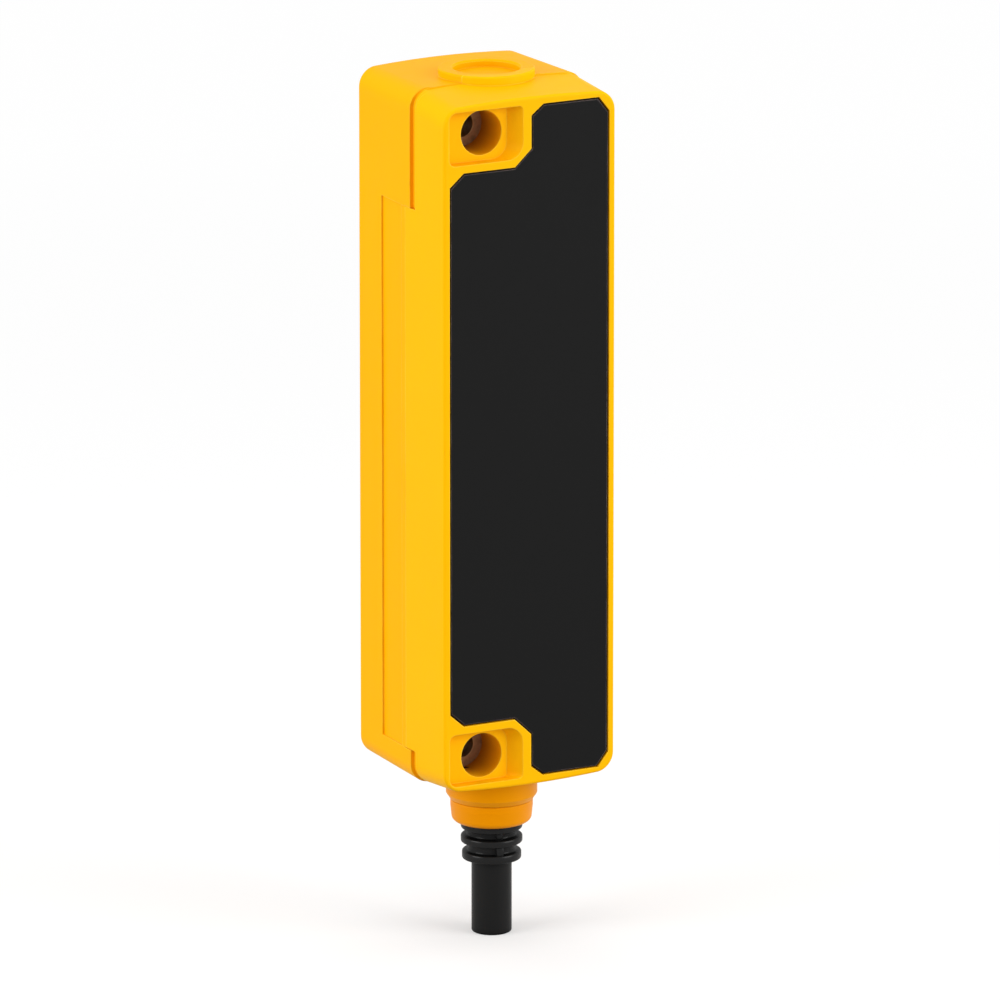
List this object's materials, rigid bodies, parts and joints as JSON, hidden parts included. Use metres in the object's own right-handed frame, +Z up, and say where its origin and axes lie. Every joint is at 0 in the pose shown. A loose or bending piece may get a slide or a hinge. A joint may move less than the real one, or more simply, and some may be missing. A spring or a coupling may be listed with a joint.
{
  "type": "transponder safety switch",
  "caption": "Slim yellow transponder safety switch with a black sensing plate, two screw pockets on one side and a short cable stub below.",
  "frame": {"origin": "middle of the flat back face, at the middle of the body's width and of its height between the end faces", "axes": "+Z up along the body towards the closed port, +Y out of the back face, the black sensing plate faces -Y, +X to the plate's right"},
  "size_m": [0.0252, 0.0249, 0.1159],
  "materials": {
    "yellow_housing": "satin",
    "yellow_cover": "satin",
    "black_plate": "satin",
    "sleeve_metal": "satin",
    "seal_rubber": "matte",
    "collar_orange": "satin",
    "relief_rubber": "satin",
    "cable_sheath": "satin",
    "copper": "satin",
    "solder": "polished",
    "board_laminate": "satin",
    "screw_steel": "satin",
    "holder_plastic": "matte",
    "ferrite": "matte",
    "bobbin_plastic": "matte",
    "can_metal": "satin",
    "chip_black": "matte",
    "ceramic_tan": "matte",
    "core_white": "satin",
    "core_brown": "satin",
    "core_green": "satin",
    "core_yellow": "satin",
    "core_grey": "satin",
    "core_pink": "satin",
    "core_blue": "satin",
    "core_red": "satin"
  },
  "bodies": {
    "root": {"rear_housing": "yellow_housing", "front_cover": "yellow_cover", "front_plate": "black_plate", "upper_mounting_sleeve": "sleeve_metal", "lower_mounting_sleeve": "sleeve_metal", "cover_seal": "seal_rubber", "gland_collar": "collar_orange", "gland_o_ring": "seal_rubber", "strain_relief": "relief_rubber", "cable_jacket": "cable_sheath", "core_conductors": "copper", "solder_joints": "solder", "circuit_board": "board_laminate", "board_screws": "screw_steel", "coil_holder": "holder_plastic", "ferrite_cup": "ferrite", "coil_bobbin": "bobbin_plastic", "coil_winding": "copper", "quartz_crystal": "can_metal", "capacitor_can": "can_metal", "capacitor_base": "chip_black", "supply_inductor": "ferrite", "protection_diodes": "chip_black", "resistors": "chip_black", "ceramic_capacitors": "ceramic_tan", "core_white": "core_white", "core_brown": "core_brown", "core_green": "core_green", "core_yellow": "core_yellow", "core_grey": "core_grey", "core_pink": "core_pink", "core_blue": "core_blue", "core_red": "core_red", "microcontroller_a": "chip_black", "microcontroller_b": "chip_black", "reader_chip": "chip_black", "output_driver_a": "chip_black", "output_driver_b": "chip_black"}
  },
  "joints": []
}
